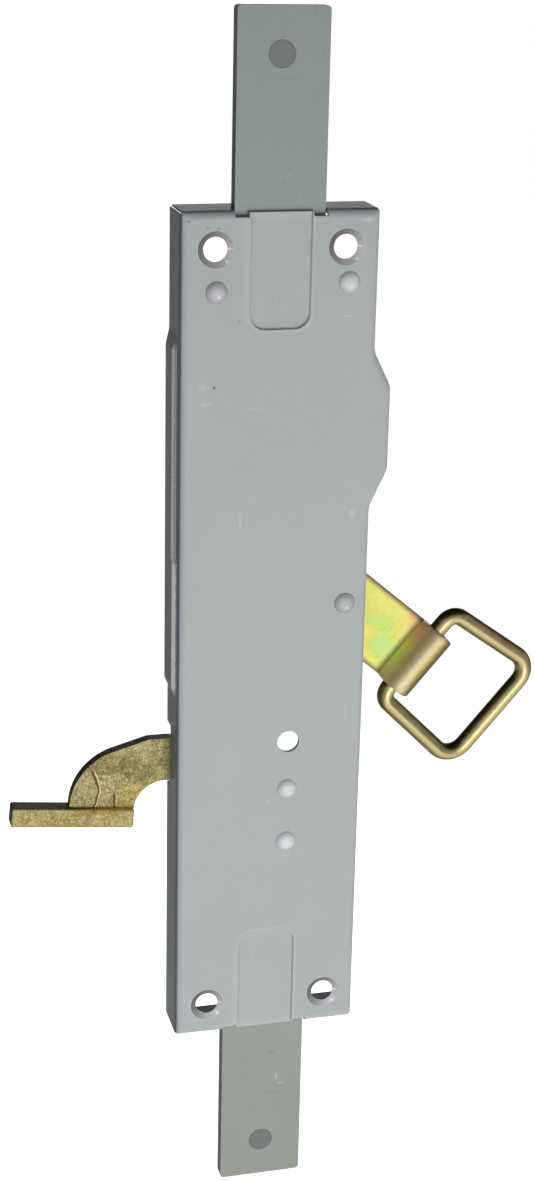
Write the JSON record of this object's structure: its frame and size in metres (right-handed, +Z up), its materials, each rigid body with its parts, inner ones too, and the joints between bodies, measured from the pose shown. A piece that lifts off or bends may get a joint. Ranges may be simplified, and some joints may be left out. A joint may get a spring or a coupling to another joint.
{
  "type": "shutter lock",
  "caption": "Surface-fixed shutter lock: folded tray case, flat bolts at both ends worked by a ring-pull handle, and a cast claw at the side.",
  "frame": {"origin": "centre of the four fixing holes, on the outer face of the front plate", "axes": "+Z up along the bolts, +X to the right (handle side) as seen from the front, the front plate faces -Y and the open back faces +Y"},
  "size_m": [0.189, 0.0185, 0.4213],
  "materials": {
    "case_paint": "satin pale blue-grey paint",
    "bolt_paint": "matt grey primer",
    "plug_steel": "dark ground steel",
    "rivet_paint": "satin grey paint",
    "yellow_zinc": "iridescent yellow zinc plate",
    "ring_zinc": "glossy bronze-yellow zinc plate",
    "claw_casting": "rough cast, yellow zinc plate",
    "pin_steel": "plain zinc plate",
    "spring_steel": "bright spring wire"
  },
  "bodies": {
    "case": {"case": "case_paint", "guide_bridge": "case_paint", "bridge_rivet_left": "rivet_paint", "bridge_rivet_right": "rivet_paint", "handle_rivet": "rivet_paint", "handle_spacer": "pin_steel", "handle_washer": "pin_steel", "claw_rivet": "rivet_paint", "claw_washer": "pin_steel", "guide_rivet": "rivet_paint", "guide_washer": "pin_steel", "claw_spring": "spring_steel", "handle_spring": "spring_steel"},
    "upper_bolt": {"upper_bolt": "bolt_paint", "upper_bolt_plug": "plug_steel"},
    "lower_bolt": {"lower_bolt": "bolt_paint", "lower_bolt_plug": "plug_steel"},
    "handle": {"handle_lever": "yellow_zinc", "drive_pin": "pin_steel"},
    "ring": {"pull_ring": "ring_zinc"},
    "claw": {"claw_lever": "claw_casting"},
    "rocker": {"rocker": "pin_steel", "rocker_pins": "pin_steel"}
  },
  "joints": [
    {"name": "handle_swing", "type": "hinge", "parent": "case", "child": "handle", "pos_m": [0.0248, 0.0138, 0.0142], "axis": [0, -1, 0], "range_deg": [0, 41], "stiffness_Nm_per_rad": 0.5, "springref_deg": -20.05, "deforming": ["handle_spring"]},
    {"name": "upper_bolt_slide", "type": "slide", "parent": "case", "child": "upper_bolt", "axis": [0, 0, -1], "range_m": [0, 0.02]},
    {"name": "lower_bolt_slide", "type": "slide", "parent": "case", "child": "lower_bolt", "axis": [0, 0, 1], "range_m": [0, 0.02]},
    {"name": "rocker_turn", "type": "hinge", "parent": "case", "child": "rocker", "pos_m": [0.0061, 0.0094, -0.0533], "axis": [0, -1, 0], "range_deg": [0, 77.4]},
    {"name": "ring_swing", "type": "hinge", "parent": "handle", "child": "ring", "pos_m": [0.05371, 0.00912, -0.01136], "axis": [-0.6468, 0, -0.7627], "range_deg": [-25, 110]},
    {"name": "claw_swing", "type": "hinge", "parent": "case", "child": "claw", "pos_m": [0.0061, 0.0136, -0.0533], "axis": [0, 1, 0], "range_deg": [-3, 6], "stiffness_Nm_per_rad": 0.5, "springref_deg": 2.29, "deforming": ["claw_spring"]}
  ],
  "couplings": [
    {"joint": "upper_bolt_slide", "follows": "handle_swing", "m_per_rad": 0.02794},
    {"joint": "lower_bolt_slide", "follows": "handle_swing", "m_per_rad": 0.02794},
    {"joint": "rocker_turn", "follows": "handle_swing", "ratio": 1.8868}
  ]
}
